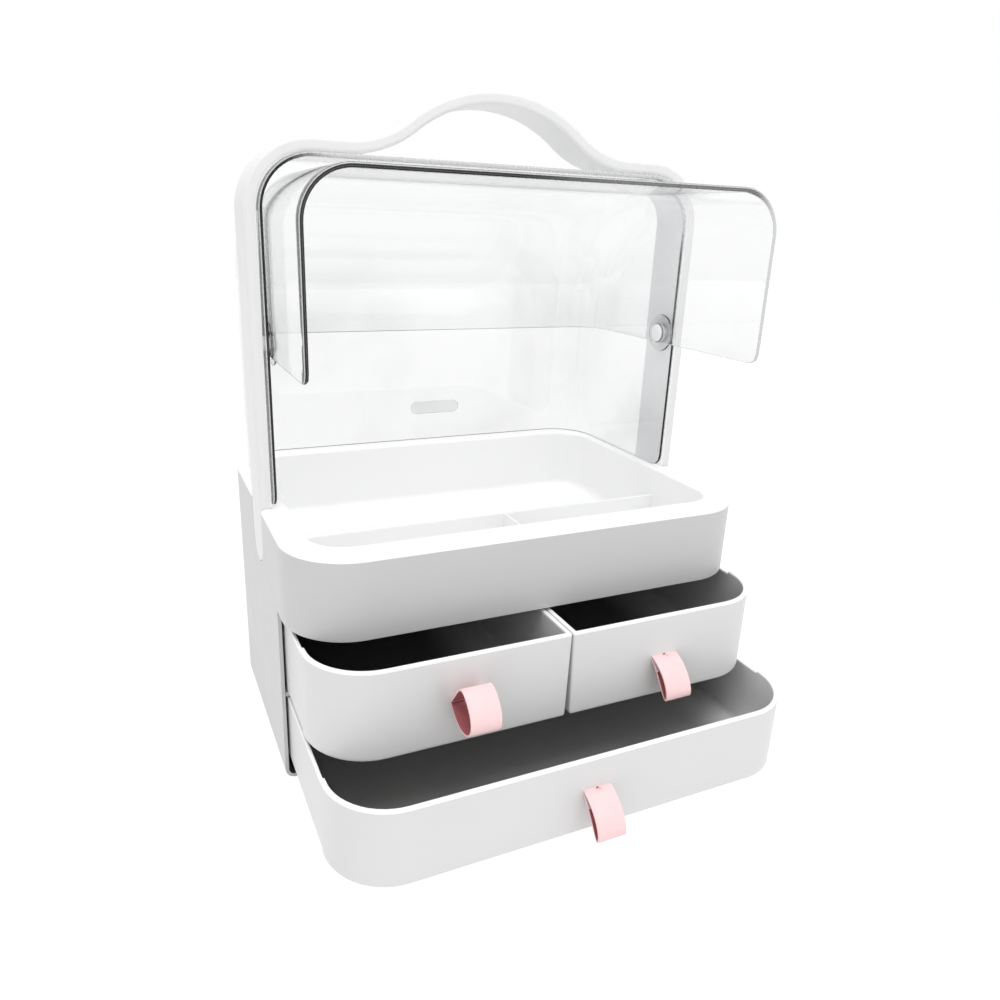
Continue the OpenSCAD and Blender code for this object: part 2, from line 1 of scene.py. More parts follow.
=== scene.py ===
"""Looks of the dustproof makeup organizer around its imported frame. Lengths are in metres."""

import bmesh
import bpy
import numpy as np
from mathutils import Matrix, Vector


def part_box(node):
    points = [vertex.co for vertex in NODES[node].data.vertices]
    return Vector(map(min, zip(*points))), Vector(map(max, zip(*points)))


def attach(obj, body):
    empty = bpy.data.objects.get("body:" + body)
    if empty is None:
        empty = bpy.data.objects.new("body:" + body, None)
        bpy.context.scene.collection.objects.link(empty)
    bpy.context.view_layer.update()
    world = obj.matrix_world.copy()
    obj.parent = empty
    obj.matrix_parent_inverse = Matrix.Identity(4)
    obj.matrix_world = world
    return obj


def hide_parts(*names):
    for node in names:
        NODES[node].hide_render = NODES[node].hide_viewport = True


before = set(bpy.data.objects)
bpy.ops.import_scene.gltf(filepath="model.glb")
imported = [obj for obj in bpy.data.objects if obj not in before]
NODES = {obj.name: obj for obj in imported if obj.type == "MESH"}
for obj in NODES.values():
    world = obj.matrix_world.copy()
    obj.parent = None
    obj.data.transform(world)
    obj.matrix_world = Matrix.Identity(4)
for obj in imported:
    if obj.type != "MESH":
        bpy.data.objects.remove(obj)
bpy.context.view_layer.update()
MM = 0.001

# Camera, solved from the photograph's edges
CAMERA_PLACE = (-0.2039, -0.4488, 0.3094)
CAMERA_RIGHT = (0.91162, -0.40965, 0.03370)
CAMERA_UP = (0.10346, 0.30804, 0.94573)
CAMERA_BACK = (-0.39780, -0.85866, 0.32320)
CAMERA_LENS = 28.586
CAMERA_SHIFT = (0.01972, -0.0045)

# Cabinet and tray
BODY_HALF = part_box("cabinet_shell")[1].x
BODY_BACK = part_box("cabinet_shell")[1].y
BODY_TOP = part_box("cabinet_shell")[1].z
RIM_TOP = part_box("top_tray")[1].z
CORNER_R = 36 * MM
REAR_SETBACK = 3 * MM
TRAY_WALL = 1.8 * MM
TRAY_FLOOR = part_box("top_tray")[0].z + TRAY_WALL
RIM_FRONT = 17 * MM
RIM_SIDE = 15.3 * MM
TRAY_WELL_R = 20 * MM
TRAY_EDGE_R = 1.6 * MM
TRAY_FILLET_R = 3.5 * MM
RECESS_GAP = 0.2 * MM
RECESS_LIP = 0.05 * MM
DIVIDER_Y = -23 * MM
DIVIDER_X = 11 * MM
DIVIDER_T = 1.6 * MM
DIVIDER_TOP = TRAY_FLOOR + 24 * MM
DIVIDER_EDGE_R = 0.6 * MM
DIVIDER_ROOT = 1 * MM

# Drawers
FRONT_SECTION = 36 * MM
FRONT_WALL = 2.6 * MM
REAR_WALL = 1.8 * MM
REAR_INSET = 0.3 * MM
RIM_STEP = 1.8 * MM
BOTTOM_STEP = 0.8 * MM
DRAWER_FLOOR = 2 * MM
DRAWER_FRONT_R = 34 * MM
DRAWER_REAR_R = 33 * MM
WEDGE_TOP = 0.4 * MM
WEDGE_BOTTOM = 1.5 * MM
DRAWER_INNER_R = 1.2 * MM
DRAWER_FOOT_R = 1.6 * MM
DRAWER_FILLET_R = 2.5 * MM
FRONT_RIM_R = 0.8 * MM
REAR_RIM_R = 0.6 * MM
STEP_BLEND = 0.3 * MM
UPPER_OPEN = 28 * MM
LOWER_OPEN = 64 * MM

# Handle frame
FRAME_T = 6.5 * MM
FRAME_EDGE_R = 1.8 * MM
FRAME_Y = (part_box("handle_frame")[0].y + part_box("handle_frame")[1].y) / 2
FRAME_HALF_W = (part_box("handle_frame")[1].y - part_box("handle_frame")[0].y) / 2
FRAME_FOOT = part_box("handle_frame")[0].z
ARCH_RISE = 29.5 * MM
SHOULDER_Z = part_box("handle_frame")[1].z - ARCH_RISE
SHOULDER_R = 36 * MM
ARCH_HALF = 86 * MM
CROWN_R = 85 * MM

# Covers and pivots
PIVOT_Y = -10 * MM
PIVOT_Z = 245 * MM
COVER_T = 2.4 * MM
COVER_R = 25 * MM
COVER_TAIL = 6.5 * MM
COVER_DROP = 89.8 * MM
COVER_REACH = 87.5 * MM
COVER_FOOT_R = 5.5 * MM
REAR_FOOT_R = 8 * MM
REAR_T = 2.2 * MM
REAR_R = 29 * MM
REAR_BEND = 78 * MM
CAP_R = 6.4 * MM
CAP_RIM = 1.6 * MM
CAP_DOME = 2.2 * MM
CAP_EDGE = 0.3 * MM
DOME_INSET = 0.4 * MM
SHEET_CHAMFER = 0.35 * MM
LUG_R = 12 * MM
LUG_T = 0.8 * MM
LUG_LIP = 0.3 * MM
PIN_R = 4 * MM
PIN_GAP = 0.1 * MM

# Smallest step that tells two places apart
HAIR = 0.01 * MM

# Light
WORLD_LEVEL = 0.74
KEY_PLACE, KEY_POWER = (-0.15, -0.35, 1.9), 18
LEFT_PLACE, LEFT_POWER = (-1.8, 0.1, 0.7), 2
FRONT_PLACE, FRONT_POWER = (0.6, -2.0, 0.6), 4.5
FLOOR_HALF = 4.0
FLOOR_GLOW = 1.12
FLOOR_GLOW_SHARE = 0.86


def link(obj):
    """Puts an object into the scene."""
    bpy.context.scene.collection.objects.link(obj)
    return obj


def mesh_object(name, points, faces, material, body, stands_for):
    """Object of that name from an array of points and a list of faces, riding on a body."""
    mesh = bpy.data.meshes.new(name)
    mesh.from_pydata(np.asarray(points, float).reshape(-1, 3).tolist(), [], faces)
    mesh.validate()
    obj = link(bpy.data.objects.new(name, mesh))
    for each in material if isinstance(material, (list, tuple)) else [material]:
        mesh.materials.append(each)
    finish_shading(obj)
    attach(obj, body)
    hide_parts(*stands_for)
    return obj


def finish_shading(obj, angle=35):
    """Smooth shading with sharp edges past an angle, and face-weighted normals on flats."""
    mesh = obj.data
    mesh.shade_smooth()
    mesh.set_sharp_from_angle(angle=np.radians(angle))
    weighted = obj.modifiers.new("weighted", "WEIGHTED_NORMAL")
    weighted.keep_sharp = True
    weighted.weight = 90


def grid_faces(rows, cols, closed):
    """Quads of a grid of rows by cols points, whose rows close on themselves if asked."""
    i, k = np.meshgrid(np.arange(rows - 1), np.arange(cols if closed else cols - 1), indexing="ij")
    nxt = (k + 1) % cols
    quads = np.stack([i * cols + k, i * cols + nxt, (i + 1) * cols + nxt, (i + 1) * cols + k], -1)
    return quads.reshape(-1, 4).tolist()


def loops_mesh(loops):
    """Points and faces of closed loops stacked from the first to the last, capped at both ends."""
    rows, cols = loops.shape[:2]
    faces = grid_faces(rows, cols, True)
    faces.append(list(range(cols - 1, -1, -1)))
    faces.append([(rows - 1) * cols + k for k in range(cols)])
    return loops.reshape(-1, 3), faces


def outline(x0, x1, y0, y1, radii, inset, breaks=(), steps=14):
    """Rounded rectangle as a loop of points, drawn in by inset.

    Corners run front right, rear right, rear left, front left, each a quarter circle of its radius
    less the inset, and breaks are depths that get a point on both long sides."""
    x0, x1, y0, y1 = x0 + inset, x1 - inset, y0 + inset, y1 - inset
    turn = np.linspace(0, np.pi / 2, steps)
    loop = []
    corners = ((x1, y0, -1, 1, -np.pi / 2), (x1, y1, -1, -1, 0),
               (x0, y1, 1, -1, np.pi / 2), (x0, y0, 1, 1, np.pi))
    for i, (x, y, sx, sy, start) in enumerate(corners):
        r = max(radii[i] - inset, 0.3 * MM)
        arc = np.stack([x + sx * r + r * np.cos(start + turn), y + sy * r + r * np.sin(start + turn)], -1)
        loop.append(arc)
        if i == 0 and len(breaks):
            loop.append(np.array([[x1, b] for b in breaks]))
        if i == 2 and len(breaks):
            loop.append(np.array([[x0, b] for b in reversed(breaks)]))
    return np.concatenate(loop)


def arc_points(cx, cz, r, start, end, steps):
    """Points (inset, height) on an arc, with angles in degrees."""
    a = np.radians(np.linspace(start, end, steps))
    return np.stack([cx + r * np.cos(a), cz + r * np.sin(a)], -1)


def wall_profile(bottom, rim, floor, wall, foot_r, edge_r, inner_r):
    """Section of a tub's wall as (inset, height).

    It runs round the foot, up outside, over the rounded rim, down inside and into the floor's fillet."""
    return np.concatenate([
        [[foot_r + 1.5 * MM, bottom]],
        arc_points(foot_r, bottom + foot_r, foot_r, 270, 180, 6),
        [[0, bottom + foot_r + 1 * MM]],
        [[0, rim - edge_r - 0.6 * MM]],
        arc_points(edge_r, rim - edge_r, edge_r, 180, 90, 5),
        arc_points(wall - edge_r, rim - edge_r, edge_r, 90, 0, 5),
        [[wall, rim - edge_r - 0.6 * MM]],
        [[wall, floor + inner_r + 1 * MM]],
        arc_points(wall + inner_r, floor + inner_r, inner_r, 180, 270, 7),
        [[wall + inner_r + 1.5 * MM, floor]]])


def drawer(name, x0, x1, open_by, materials, side=0):
    """Drawer as loops round the plan, each loop one point of the wall's section.

    The front section and the rear box have their own sections, chosen by depth. side is 0 for a drawer
    of full width, 1 or -1 for the right or left upper one, whose inner side leans by the wedge. The
    materials are for the outside, the inside's painted shade and the painted highlight on the lips at
    foot and rim."""
    low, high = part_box(name)
    y0, y1 = low.y + open_by, high.y + open_by
    section_y = y0 + FRONT_SECTION
    box_bottom = low.z + BOTTOM_STEP
    floor = box_bottom + DRAWER_FLOOR
    front = wall_profile(low.z, high.z, floor, FRONT_WALL, DRAWER_FOOT_R, FRONT_RIM_R, DRAWER_FILLET_R)
    rear = wall_profile(box_bottom, high.z - RIM_STEP, floor, REAR_WALL, DRAWER_FOOT_R, REAR_RIM_R,
                        DRAWER_FILLET_R)
    rear[:, 0] += REAR_INSET
    inner_r = (DRAWER_INNER_R, DRAWER_INNER_R) if side else (DRAWER_REAR_R, DRAWER_FRONT_R)
    radii = (DRAWER_FRONT_R, DRAWER_REAR_R, *inner_r)
    breaks = (section_y - STEP_BLEND, section_y, section_y + STEP_BLEND)
    ahead = outline(x0, x1, y0, y1, radii, 0, breaks)[:, 1] < section_y - HAIR
    loops = []
    for (front_inset, front_z), (rear_inset, rear_z) in zip(front, rear):
        plan = np.where(ahead[:, None], outline(x0, x1, y0, y1, radii, front_inset, breaks),
                        outline(x0, x1, y0, y1, radii, rear_inset, breaks))
        z = np.where(ahead, front_z, rear_z)
        if side:
            lean = WEDGE_BOTTOM + (WEDGE_TOP - WEDGE_BOTTOM) * (z - low.z) / (high.z - low.z)
            inner = np.where(ahead, lean, x0)
            plan[:, 0] = x1 - (x1 - plan[:, 0]) * (x1 - inner) / (x1 - x0)
        loops.append(np.column_stack([plan[:, 0], plan[:, 1] - open_by, z]))
    loops = np.array(loops)
    if side < 0:
        loops[:, :, 0] *= -1
        loops = loops[:, ::-1]
    points, faces = loops_mesh(loops)
    obj = mesh_object(name + "_shell", points, faces, materials, name, [name])
    # Inside rows take the painted shade; the foot and rim rows take the painted highlight.
    row = np.arange(len(faces)) // loops.shape[1]
    foot_end, rim_start, inside_start = 5, 8, len(front) - 10
    part = np.where(row >= inside_start, 1, np.where((row < foot_end) | (row >= rim_start), 2, 0))
    part[-2] = 0
    obj.data.polygons.foreach_set("material_index", part.tolist())
    return obj


def rings(plan, radius, profile, breaks=(), steps=14):
    """Loops round a plan (x0, x1, y0, y1), one for each (inset, height) of a profile."""
    loops = []
    for inset, height in profile:
        line = outline(*plan, (radius,) * 4, inset, breaks, steps)
        loops.append(np.column_stack([line, np.full(len(line), height)]))
    return loops


def tray(material):
    """Tray as loops round the plan, from under its floor up outside, round the rim and down inside.

    Beside the frame's legs the rim is drawn in to the recess."""
    rim_r = RIM_TOP - BODY_TOP
    foot = BODY_TOP + 2 * HAIR
    leg = FRAME_HALF_W + RECESS_GAP
    legs = (FRAME_Y - leg - RECESS_LIP, FRAME_Y - leg, FRAME_Y + leg, FRAME_Y + leg + RECESS_LIP)
    well_x, well_y = BODY_HALF - RIM_SIDE, BODY_BACK - RIM_FRONT
    well = (-well_x, well_x, -well_y, well_y)
    bottom = TRAY_FLOOR - TRAY_WALL
    under = [[1 * MM - TRAY_WALL, bottom], [-TRAY_WALL, bottom + 1 * MM], [-TRAY_WALL, BODY_TOP]]
    rim = np.concatenate([
        [[0.4 * MM, foot]],
        [[0, foot + 2 * HAIR]],
        arc_points(rim_r, RIM_TOP - rim_r, rim_r, 180, 90, 8)[1:],
        [[rim_r + 0.8 * MM, RIM_TOP]]])
    inside = np.concatenate([
        [[-TRAY_EDGE_R - 0.8 * MM, RIM_TOP]],
        arc_points(-TRAY_EDGE_R, RIM_TOP - TRAY_EDGE_R, TRAY_EDGE_R, 90, 0, 6),
        [[0, TRAY_FLOOR + TRAY_FILLET_R + 1 * MM]],
        arc_points(TRAY_FILLET_R, TRAY_FLOOR + TRAY_FILLET_R, TRAY_FILLET_R, 180, 270, 8),
        [[TRAY_FILLET_R + 1.5 * MM, TRAY_FLOOR]]])
    outer = (-BODY_HALF, BODY_HALF, -BODY_BACK, BODY_BACK)
    loops = np.array(rings(well, TRAY_WELL_R, under, legs) + rings(outer, CORNER_R, rim, legs)
                     + rings(well, TRAY_WELL_R, inside, legs))
    recess = BODY_HALF - FRAME_T - RECESS_GAP
    beside = (loops[:, :, 1] > legs[0] + HAIR) & (loops[:, :, 1] < legs[3] - HAIR)
    loops[:, :, 0] = np.where(beside, np.clip(loops[:, :, 0], -recess, recess), loops[:, :, 0])
    points, faces = loops_mesh(loops)
    mesh_object("tray_body", points, faces, material, "cabinet", ["top_tray"])
    half_t = DIVIDER_T / 2
    divider("tray_divider_long", (-well_x - DIVIDER_ROOT, well_x + DIVIDER_ROOT,
                                  DIVIDER_Y - half_t, DIVIDER_Y + half_t), material)
    divider("tray_divider_cross", (DIVIDER_X - half_t, DIVIDER_X + half_t,
                                   -well_y - DIVIDER_ROOT, DIVIDER_Y), material)


def divider(name, plan, material):
    """Upright divider of the tray with its upper edges rounded, as loops from its foot to its top."""
    edge = DIVIDER_EDGE_R
    rows = np.concatenate([[[0, TRAY_FLOOR - DIVIDER_ROOT]], [[0, DIVIDER_TOP - edge - 0.5 * MM]],
                           arc_points(edge, DIVIDER_TOP - edge, edge, 180, 90, 5)])
    rows[:, 0] = np.minimum(rows[:, 0], 0.45 * MM) * 1.2
    points, faces = loops_mesh(np.array(rings(plan, 0.5 * MM, rows, (), 4)))
    mesh_object(name, points, faces, material, "cabinet", ["top_tray"])


def frame_path(steps=26):
    """Outer line of the frame from the left foot to the right one, as points and outward normals.

    Straight leg, quarter circle of the shoulder, flat, hollow arc, crown arc, and the same mirrored."""
    drop = CROWN_R - ARCH_RISE
    valley_r = (ARCH_HALF ** 2 + drop ** 2 - CROWN_R ** 2) / (2 * (CROWN_R - drop))
    crown_z = SHOULDER_Z - drop
    tilt = np.arctan2(ARCH_HALF, drop + valley_r)
    low = SHOULDER_Z - SHOULDER_R
    foot = FRAME_HALF_W
    rise = FRAME_FOOT + foot * (1 - np.cos(np.linspace(0.02, np.pi / 2, 14)))
    leg_z = np.concatenate([rise, np.linspace(FRAME_FOOT + foot, low, 12)[1:-1]])
    parts, normals = [], []
    parts.append(np.stack([np.full(len(leg_z), -BODY_HALF), leg_z], -1))
    normals.append(np.tile([-1.0, 0.0], (len(leg_z), 1)))
    a = np.linspace(np.pi, np.pi / 2, steps)
    n = np.stack([np.cos(a), np.sin(a)], -1)
    parts.append(np.array([SHOULDER_R - BODY_HALF, low]) + SHOULDER_R * n)
    normals.append(n)
    a = np.linspace(-np.pi / 2, -np.pi / 2 + tilt, steps)
    n = np.stack([np.cos(a), np.sin(a)], -1)
    parts.append(np.array([-ARCH_HALF, SHOULDER_Z + valley_r]) + valley_r * n)
    normals.append(-n)
    a = np.linspace(np.pi / 2 + tilt, np.pi / 2, steps)[1:]
    n = np.stack([np.cos(a), np.sin(a)], -1)
    parts.append(np.array([0, crown_z]) + CROWN_R * n)
    normals.append(n)
    p, n = np.concatenate(parts), np.concatenate(normals)
    mirror = np.array([-1.0, 1.0])
    return np.concatenate([p, (p * mirror)[-2::-1]]), np.concatenate([n, (n * mirror)[-2::-1]])


def handle(material, inner_painted_light):
    """Frame as its rounded section carried along the outer line, narrowed to half rounds at the feet."""
    p, n = frame_path()
    section = outline(0, FRAME_T, -FRAME_HALF_W, FRAME_HALF_W, (FRAME_EDGE_R,) * 4, 0, (), 6)
    up = np.minimum(p[:, 1] - FRAME_FOOT, FRAME_HALF_W)
    narrow = np.sqrt(np.maximum(1 - (1 - up / FRAME_HALF_W) ** 2, 0.0001))
    depth, across = section[:, 0], section[:, 1]
    inner = np.sign(across) * np.maximum(np.abs(across)[None, :] * narrow[:, None], 0)
    loops = np.empty((len(p), len(section), 3))
    loops[:, :, 0] = p[:, :1] - n[:, :1] * depth
    loops[:, :, 1] = FRAME_Y + inner
    loops[:, :, 2] = p[:, 1:] - n[:, 1:] * depth
    points, faces = loops_mesh(loops)
    obj = mesh_object("handle_band", points, faces, material, "cabinet",
                      ["handle_frame"])
    recalculate(obj)
    # Inward faces of the legs below the shoulder take the second material, a lighter grey as painted light
    # against their shade.
    obj.data.materials.append(inner_painted_light)
    for poly in obj.data.polygons:
        inwards = poly.normal.x * poly.center.x < -0.5 * abs(poly.center.x)
        poly.material_index = 1 if inwards and poly.center.z < SHOULDER_Z else 0


def recalculate(obj):
    """Turns a closed mesh's faces outwards."""
    bm = bmesh.new()
    bm.from_mesh(obj.data)
    bmesh.ops.remove_doubles(bm, verts=bm.verts, dist=1e-6)
    bmesh.ops.recalc_face_normals(bm, faces=bm.faces)
    bm.to_mesh(obj.data)
    bm.free()


def cover_grid(reach, drop, tail, half, r, foot_r):
    """Outer face of a cover as a grid, about the line where its bend is centred.

    Rows follow the profile: up the wall at reach, a quarter circle, and back over the tail. A row starts
    on the open edge of one side, runs flat to the corner, round it, across, and down the other side."""
    arc = reach * np.pi / 2
    path = np.concatenate([np.linspace(0, drop, 16)[:-1], drop + np.linspace(0, arc, 40)[:-1],
                           drop + arc + np.linspace(0, tail, 8)])
    angle = np.clip((path - drop) / reach, 0, np.pi / 2)
    nu, nw = np.cos(angle), np.sin(angle)
    pu = np.where(path < drop, reach, reach * nu) - np.maximum(path - drop - arc, 0)
    pw = np.where(path < drop, path - drop, reach * nw)
    qu, qw = pu - r * nu, pw - r * nw
    share = path / path[-1]
    line = foot_r * np.pi / 2 + (reach - r + drop - foot_r)
    s = share * line
    bend = np.minimum(s / max(foot_r, 1e-6), np.pi / 2)
    su = -tail + foot_r * (1 - np.sin(bend)) if foot_r else np.full(len(path), -tail)
    sw = np.where(s < foot_r * np.pi / 2, -drop + foot_r * (1 - np.cos(bend)),
                  -drop + foot_r + s - foot_r * np.pi / 2)
    flat = np.linspace(0, 1, 10)[:-1]
    turn = np.linspace(0, np.pi / 2, 14)
    cross = np.linspace(-1, 1, 12)[1:-1]
    place = np.stack([qu, qw], -1)[:, None]
    edge = np.stack([su, sw], -1)[:, None]
    out = np.stack([nu, nw], -1)[:, None]
    side = edge + (place - edge) * flat[:, None]
    corner = place + r * np.sin(turn)[:, None] * out
    across = np.repeat(np.stack([pu, pw], -1)[:, None], len(cross), axis=1)
    left_x = np.concatenate([np.full(len(flat), -half), r - half - r * np.cos(turn)])
    x = np.concatenate([left_x, cross * (half - r), -left_x[::-1]])
    left = np.concatenate([side, corner], axis=1)
    uw = np.concatenate([left, across, left[:, ::-1]], axis=1)
    return np.concatenate([np.broadcast_to(x[:, None], (len(path), len(x), 1)), uw], axis=2)


def clear_sheet(name, outer, inner, materials, body, node):
    """Closed sheet between two grids of points, its border rounded off by a chamfer on both faces.

    Points of the border carry how far across the edge they lie, 0 outside and 1 inside, as the attribute
    named across. The edge's faces take the second material."""
    rows, cols = outer.shape[:2]
    border = ([(0, k) for k in range(cols - 1)] + [(i, cols - 1) for i in range(rows - 1)]
              + [(rows - 1, k) for k in range(cols - 1, 0, -1)] + [(i, 0) for i in range(rows - 1, 0, -1)])
    i, k = np.array(border).T
    ahead = np.zeros((len(border), 3))
    for here, nxt_i, nxt_k in ((i == 0, i + 1, k), (i == rows - 1, i - 1, k), (k == 0, i, k + 1),
                               (k == cols - 1, i, k - 1)):
        step = outer[i, k] - outer[np.clip(nxt_i, 0, rows - 1), np.clip(nxt_k, 0, cols - 1)]
        length = np.maximum(np.linalg.norm(step, axis=1, keepdims=True), 1e-9)
        ahead += np.where(here[:, None], step / length, 0)
    ahead /= np.maximum(np.linalg.norm(ahead, axis=1, keepdims=True), 1e-9)
    shares = (0.18, 0.82)
    rings = [outer[i, k] + (inner[i, k] - outer[i, k]) * f for f in shares]
    outer, inner = outer.copy(), inner.copy()
    outer[i, k] -= SHEET_CHAMFER * ahead
    inner[i, k] -= SHEET_CHAMFER * ahead
    count, edge = rows * cols, len(border)
    points = np.concatenate([outer.reshape(-1, 3), inner.reshape(-1, 3), *rings])
    across = np.concatenate([np.zeros(count), np.ones(count), *[np.full(edge, f) for f in shares]])
    grid = grid_faces(rows, cols, False)
    faces = grid + [[count + v for v in f[::-1]] for f in grid]
    flat = i * cols + k
    chain = [flat, 2 * count + np.arange(edge), 2 * count + edge + np.arange(edge), count + flat]
    for a, b in zip(chain, chain[1:]):
        faces += np.stack([a, b, np.roll(b, -1), np.roll(a, -1)], -1).tolist()
    mesh = bpy.data.meshes.new(name)
    mesh.from_pydata(points.tolist(), [], faces)
    mesh.attributes.new("across", "FLOAT", "POINT").data.foreach_set("value", across)
    for each in materials:
        mesh.materials.append(each)
    mesh.polygons.foreach_set("material_index", [int(i >= 2 * len(grid)) for i in range(len(faces))])
    obj = link(bpy.data.objects.new(name, mesh))
    recalculate(obj)
    finish_shading(obj, 60)
    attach(obj, body)
    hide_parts(node)


def rear_cover(materials):
    """Fixed cover behind the frame, from the tray's rim up and over its bend to the frame."""
    low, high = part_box("rear_cover")
    bend_y, bend_z = BODY_BACK - REAR_SETBACK - REAR_BEND, high.z - REAR_BEND
    faces = []
    for t in (0, REAR_T):
        grid = cover_grid(REAR_BEND - t, bend_z - low.z, bend_y - low.y, high.x - t, REAR_R - t,
                          REAR_FOOT_R)
        faces.append(np.stack([grid[:, :, 0], bend_y + grid[:, :, 1], bend_z + grid[:, :, 2]], -1))
    clear_sheet("rear_cover_shell", faces[0], faces[1], materials, "cabinet", "rear_cover")


def front_cover(materials):
    """Front cover, turned from its closed place to its raised one about the pivot line."""
    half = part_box("front_cover")[1].x
    faces = []
    for t in (0, COVER_T):
        grid = cover_grid(COVER_REACH - t, COVER_DROP, COVER_TAIL, half - t, COVER_R - t, COVER_FOOT_R)
        faces.append(np.stack([grid[:, :, 0], PIVOT_Y + grid[:, :, 2], PIVOT_Z + grid[:, :, 1]], -1))
    clear_sheet("front_cover_shell", faces[0], faces[1], materials, "front_cover", "front_cover")


def bare_oval(material):
    """Raised oval left bare on the rear cover: a flat pad with rounded ends, as loops from its foot."""
    half, r, proud, soft = 19 * MM, 4.5 * MM, 0.5 * MM, 0.25 * MM
    x, y, z = 10 * MM, BODY_BACK - REAR_SETBACK, RIM_TOP + 24 * MM
    loops = []
    for d, rise in ((0, -0.2 * MM), (0, proud - soft), (0.08 * MM, proud - 0.1 * MM), (soft, proud)):
        plan = outline(-half, half, -r, r, (r,) * 4, d, (), 12)
        loops.append(np.column_stack([x + plan[:, 0], np.full(len(plan), y + rise), z + plan[:, 1]]))
    points, faces = loops_mesh(np.array(loops))
    obj = mesh_object("bare_oval", points, faces, material, "cabinet", ["rear_cover"])
    recalculate(obj)


def lathe_x(name, profile, x_sign, material, body, stands_for, steps=48):
    """Turned piece about the pivot line: profile holds (distance from the middle plane, radius)."""
    a = np.linspace(0, 2 * np.pi, steps, endpoint=False)
    loops = np.empty((len(profile), steps, 3))
    loops[:, :, 0] = x_sign * profile[:, :1]
    loops[:, :, 1] = PIVOT_Y + profile[:, 1:] * np.cos(a)
    loops[:, :, 2] = PIVOT_Z + profile[:, 1:] * np.sin(a)
    points, faces = loops_mesh(loops)
    obj = mesh_object(name, points, faces, material, body, stands_for)
    recalculate(obj)


def pivots(white, clear):
    """Domed caps on the pins, and the clear bosses round them on the front cover."""
    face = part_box("pivot_cap_right")[1].x
    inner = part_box("front_cover")[1].x - COVER_T
    a = np.radians(np.linspace(0, 90, 12))
    dome = np.stack([face - CAP_RIM - CAP_DOME * np.sin(a), 1e-5 + (CAP_R - DOME_INSET) * np.cos(a)], -1)
    cap = np.concatenate([[[face, 3 * MM], [face, CAP_R - CAP_EDGE], [face - CAP_EDGE, CAP_R],
                           [face - CAP_RIM + CAP_EDGE, CAP_R], [face - CAP_RIM, CAP_R - CAP_EDGE]], dome])
    hole = PIN_R + PIN_GAP
    boss = np.array([[inner + LUG_LIP, hole], [inner - LUG_T, hole], [inner - LUG_T, LUG_R - LUG_LIP],
                     [inner - LUG_T + LUG_LIP, LUG_R], [inner + LUG_LIP, LUG_R]])
    for side, word in ((1, "right"), (-1, "left")):
        lathe_x("pivot_knob_" + word, cap, side, white, "cabinet", ["pivot_cap_" + word])
        boss_ring("pivot_boss_" + word, boss, side, clear)


def boss_ring(name, ring, side, material, steps=64):
    """Closed ring about the pivot line, from its section as (distance from the middle, radius)."""
    a = np.linspace(0, 2 * np.pi, steps, endpoint=False)
    points = np.empty((steps, len(ring), 3))
    points[:, :, 0] = side * ring[:, 0]
    points[:, :, 1] = PIVOT_Y + ring[:, 1] * np.cos(a)[:, None]
    points[:, :, 2] = PIVOT_Z + ring[:, 1] * np.sin(a)[:, None]
    count = len(ring)
    i, j = np.meshgrid(np.arange(steps), np.arange(count), indexing="ij")
    next_i, next_j = (i + 1) % steps, (j + 1) % count
    faces = np.stack([i * count + j, i * count + next_j, next_i * count + next_j, next_i * count + j], -1)
    obj = mesh_object(name, points, faces.reshape(-1, 4).tolist(), material, "front_cover",
                      ["front_cover"])
    recalculate(obj)


def bevelled_copy(node, name, width, materials, body, which, angle=40, below=1.0):
    """Copy of a node's solid, merged into clean faces, with its sharp edges below a height rounded.

    which gives the number of a face's material from its middle and its normal."""
    bm = bmesh.new()
    bm.from_mesh(NODES[node].data)
    bmesh.ops.remove_doubles(bm, verts=bm.verts, dist=1e-6)
    bmesh.ops.dissolve_limit(bm, angle_limit=np.radians(0.5), verts=bm.verts, edges=bm.edges)
    edges = [e for e in bm.edges if len(e.link_faces) == 2 and e.calc_face_angle() > np.radians(angle)
             and min(v.co.z for v in e.verts) < below]
    bmesh.ops.bevel(bm, geom=edges, offset=width, segments=3, profile=0.5, affect="EDGES",
                    clamp_overlap=True)
    mesh = bpy.data.meshes.new(name)
    bm.to_mesh(mesh)
    bm.free()
    for each in materials:
        mesh.materials.append(each)
    for poly in mesh.polygons:
        poly.material_index = which(poly.center, poly.normal)
    obj = link(bpy.data.objects.new(name, mesh))
    finish_shading(obj)
    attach(obj, body)
    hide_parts(node)


def cabinet_part(center, normal):
    """0 for the cabinet's outside, 1 for its inside below the tray as painted shade, 2 for the front
    band's lower lip as a painted highlight.
    """
    if normal.x * center.x + normal.y * center.y < 0 and center.z < TRAY_FLOOR:
        return 1
    return 2 if -0.97 < normal.z < -0.1 and center.z > TRAY_FLOOR - 6 * MM else 0


def strap(name, body, materials):
    """Pull strap with softened edges, whose loop takes a darker painted shade on its inside."""
    low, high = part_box(name)
    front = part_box(body)[0].y
    middle = np.array([(front + low.y) / 2, (low.z + high.z) / 2])

    # Faces inside the loop take the painted shade.
    def painted_shade_loop(center, normal):
        towards = (middle[0] - center.y) * normal.y + (middle[1] - center.z) * normal.z
        return 1 if abs(normal.x) < 0.5 and towards > 0 else 0

    bevelled_copy(name, name + "_band", 0.25 * MM, materials, body, painted_shade_loop, 50)


